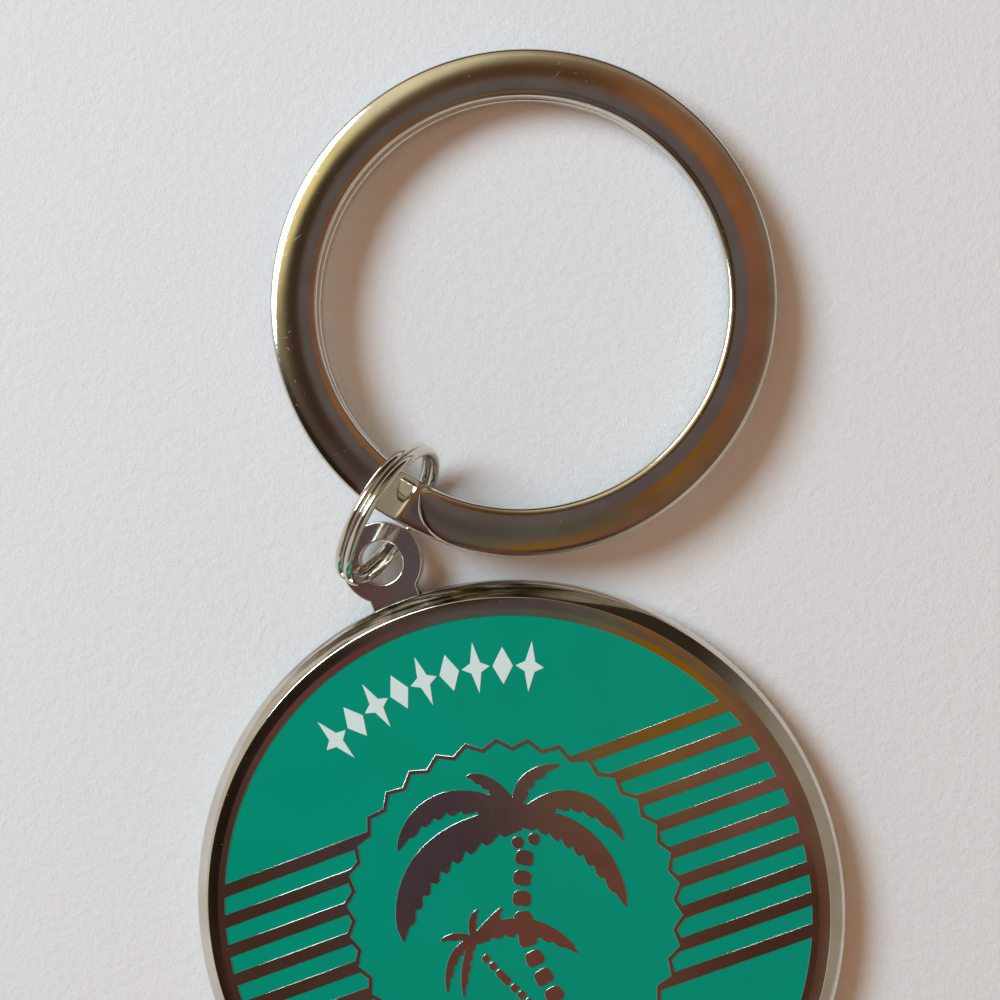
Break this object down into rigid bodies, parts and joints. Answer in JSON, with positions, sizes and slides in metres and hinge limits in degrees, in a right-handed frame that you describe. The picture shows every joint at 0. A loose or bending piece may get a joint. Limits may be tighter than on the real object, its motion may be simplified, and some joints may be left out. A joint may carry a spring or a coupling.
{
  "type": "keychain",
  "caption": "Round metal souvenir medallion with enamel cells around a palm scene, hung on a small split ring and a flat-wire key ring.",
  "frame": {"origin": "centre of the medallion's flat back face", "axes": "+Z out of the enamelled face, +Y from the medallion's centre through the eyelet, +X to the right seen from the front"},
  "size_m": [0.0516, 0.0728, 0.01],
  "materials": {
    "nickel": "bright nickel plate, polished, fine handling scratches",
    "green_enamel": "glossy hard enamel",
    "white_enamel": "satin printed white"
  },
  "bodies": {
    "medallion": {"medallion_body": "nickel", "enamel_upper_field": "green_enamel", "enamel_lower_field": "green_enamel", "enamel_sun_field": "green_enamel", "enamel_slot_left_1": "green_enamel", "enamel_slot_left_2": "green_enamel", "enamel_slot_left_3": "green_enamel", "enamel_slot_left_4": "green_enamel", "enamel_slot_left_5": "green_enamel", "enamel_slot_left_6": "green_enamel", "enamel_slot_left_7": "green_enamel", "enamel_slot_left_8": "green_enamel", "enamel_slot_right_1": "green_enamel", "enamel_slot_right_2": "green_enamel", "enamel_slot_right_3": "green_enamel", "enamel_slot_right_4": "green_enamel", "enamel_slot_right_5": "green_enamel", "enamel_slot_right_6": "green_enamel", "enamel_slot_right_7": "green_enamel", "enamel_slot_right_8": "green_enamel", "white_ornament_1": "white_enamel", "white_ornament_2": "white_enamel", "white_ornament_3": "white_enamel", "white_ornament_4": "white_enamel", "white_ornament_5": "white_enamel", "white_ornament_6": "white_enamel", "white_ornament_7": "white_enamel", "white_ornament_8": "white_enamel", "white_ornament_9": "white_enamel"},
    "connector": {"connector_ring": "nickel"},
    "keyring": {"key_ring": "nickel"}
  },
  "joints": [
    {"name": "connector_turn", "type": "hinge", "parent": "medallion", "child": "connector", "pos_m": [0, 0.0237, 0.0019], "axis": [0, 0, 1], "range_deg": [-5, 100]},
    {"name": "key_ring_fold", "type": "hinge", "parent": "connector", "child": "keyring", "pos_m": [0.00208, 0.02637, 0.005], "axis": [0.6236, -0.7618, 0.1754], "range_deg": [-2, 130]}
  ]
}
